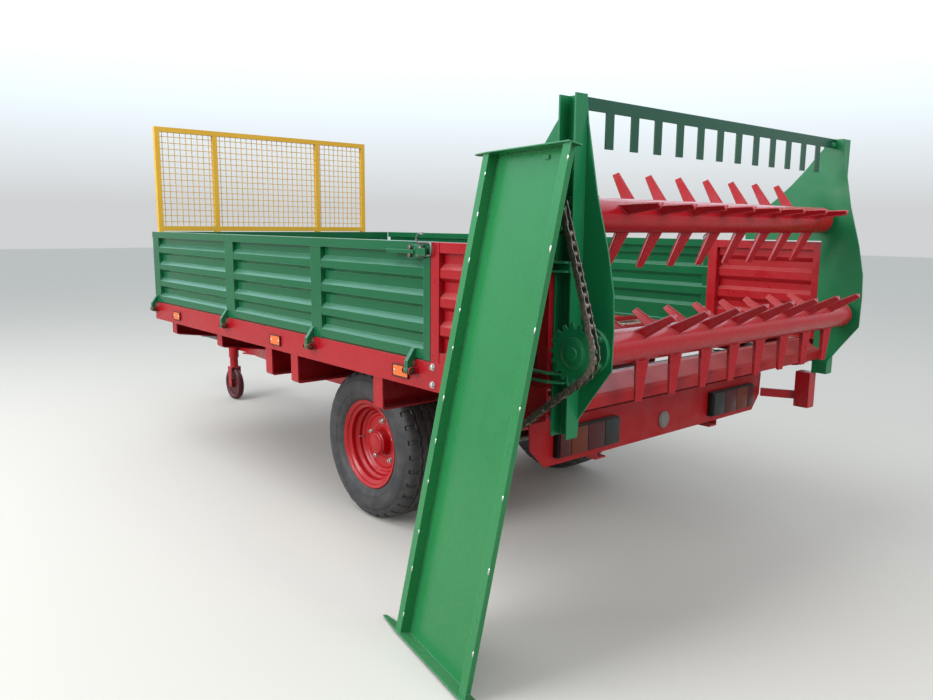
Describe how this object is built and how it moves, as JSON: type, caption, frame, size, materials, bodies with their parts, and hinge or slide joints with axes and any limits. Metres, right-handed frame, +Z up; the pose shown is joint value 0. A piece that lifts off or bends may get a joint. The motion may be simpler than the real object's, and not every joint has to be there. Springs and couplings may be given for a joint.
{
  "type": "manure spreader",
  "caption": "Single-axle towed manure spreader with a ribbed drop-side box, floor chain conveyor, two horizontal rear beaters, chain drive and a loose guard leaning on it.",
  "frame": {"origin": "centre of the towing eye's bore, at the middle of its thickness", "axes": "+X to the right as the machine is towed, +Y forward, +Z up along the eye's bore; the ground is 0.43 m below the origin and the axle 3.6 m behind it"},
  "size_m": [2.3651, 5.2971, 2.0273],
  "materials": {
    "chassis_red": "satin",
    "rim_red": "gloss",
    "wheel_dark_red": "satin",
    "tyre_rubber": "matte",
    "floor_steel": "matte",
    "conveyor_red": "matte",
    "bare_steel": "satin",
    "chain_steel": "matte",
    "side_green": "gloss",
    "plate_green": "satin",
    "mesh_yellow": "satin",
    "guard_green": "satin",
    "beater_red": "satin",
    "lamp_lens": "gloss",
    "reflector_orange": "gloss"
  },
  "bodies": {
    "frame": {"main_beams": "chassis_red", "cross_members": "chassis_red", "side_rails": "chassis_red", "front_rail": "chassis_red", "drawbar": "chassis_red", "towing_eye": "bare_steel", "jack_leg": "chassis_red", "axle_beam": "chassis_red", "axle_mounts": "chassis_red", "floor_plate": "floor_steel", "conveyor": "conveyor_red", "conveyor_shafts": "bare_steel", "ratchet_guard": "chassis_red", "front_wall": "side_green", "mesh_screen": "mesh_yellow", "fixed_posts": "chassis_red", "fixed_side_left": "chassis_red", "fixed_side_right": "chassis_red", "rear_plate_left": "plate_green", "rear_plate_right": "plate_green", "bearings": "plate_green", "crossbar": "plate_green", "rear_apron": "chassis_red", "light_bar": "chassis_red", "lamps": "lamp_lens", "feed_bracket": "chassis_red", "reflectors": "reflector_orange", "gearbox": "bare_steel", "shaft_bearings": "bare_steel", "drive_chain": "chain_steel", "chain_shoe": "bare_steel"},
    "wheel_left": {"rim_left": "rim_red", "tyre_left": "tyre_rubber"},
    "wheel_right": {"rim_right": "rim_red", "tyre_right": "tyre_rubber"},
    "jockey_wheel": {"jockey_wheel": "wheel_dark_red"},
    "drop_side_left": {"drop_side_left": "side_green"},
    "drop_side_right": {"drop_side_right": "side_green"},
    "beater_lower": {"beater_lower": "beater_red", "shaft_lower": "plate_green"},
    "beater_upper": {"beater_upper": "beater_red", "shaft_upper": "plate_green"},
    "cross_shaft": {"cross_shaft": "bare_steel"},
    "input_shaft": {"input_shaft": "bare_steel"},
    "chain_guard": {"chain_guard": "guard_green"}
  },
  "joints": [
    {"name": "wheel_left", "type": "hinge", "parent": "frame", "child": "wheel_left", "pos_m": [-0.618, -3.6, -0.068], "axis": [1, 0, 0], "continuous": true},
    {"name": "wheel_right", "type": "hinge", "parent": "frame", "child": "wheel_right", "pos_m": [0.618, -3.6, -0.068], "axis": [1, 0, 0], "continuous": true},
    {"name": "jockey_wheel", "type": "hinge", "parent": "frame", "child": "jockey_wheel", "pos_m": [-0.1033, -0.75, -0.305], "axis": [1, 0, 0], "continuous": true},
    {"name": "drop_side_left", "type": "hinge", "parent": "frame", "child": "drop_side_left", "pos_m": [-0.977, -2.9, 0.417], "axis": [0, -1, 0], "range_deg": [0, 175]},
    {"name": "drop_side_right", "type": "hinge", "parent": "frame", "child": "drop_side_right", "pos_m": [0.977, -2.9, 0.417], "axis": [0, 1, 0], "range_deg": [0, 175]},
    {"name": "beater_lower", "type": "hinge", "parent": "frame", "child": "beater_lower", "pos_m": [0, -5.08, 0.59], "axis": [1, 0, 0], "continuous": true},
    {"name": "beater_upper", "type": "hinge", "parent": "frame", "child": "beater_upper", "pos_m": [0, -4.962, 1.01], "axis": [1, 0, 0], "continuous": true},
    {"name": "cross_shaft", "type": "hinge", "parent": "frame", "child": "cross_shaft", "pos_m": [0, -4.55, 0.162], "axis": [1, 0, 0], "continuous": true},
    {"name": "input_shaft", "type": "hinge", "parent": "frame", "child": "input_shaft", "pos_m": [0, -2.6, 0.162], "axis": [0, 1, 0], "continuous": true},
    {"name": "guard_lift", "type": "slide", "parent": "frame", "child": "chain_guard", "axis": [0, 0, 1], "range_m": [0, 0.4]}
  ],
  "couplings": [
    {"joint": "beater_upper", "follows": "beater_lower", "ratio": 1.3077},
    {"joint": "cross_shaft", "follows": "beater_lower", "ratio": 1.3077},
    {"joint": "input_shaft", "follows": "beater_lower", "ratio": -1.3077}
  ]
}
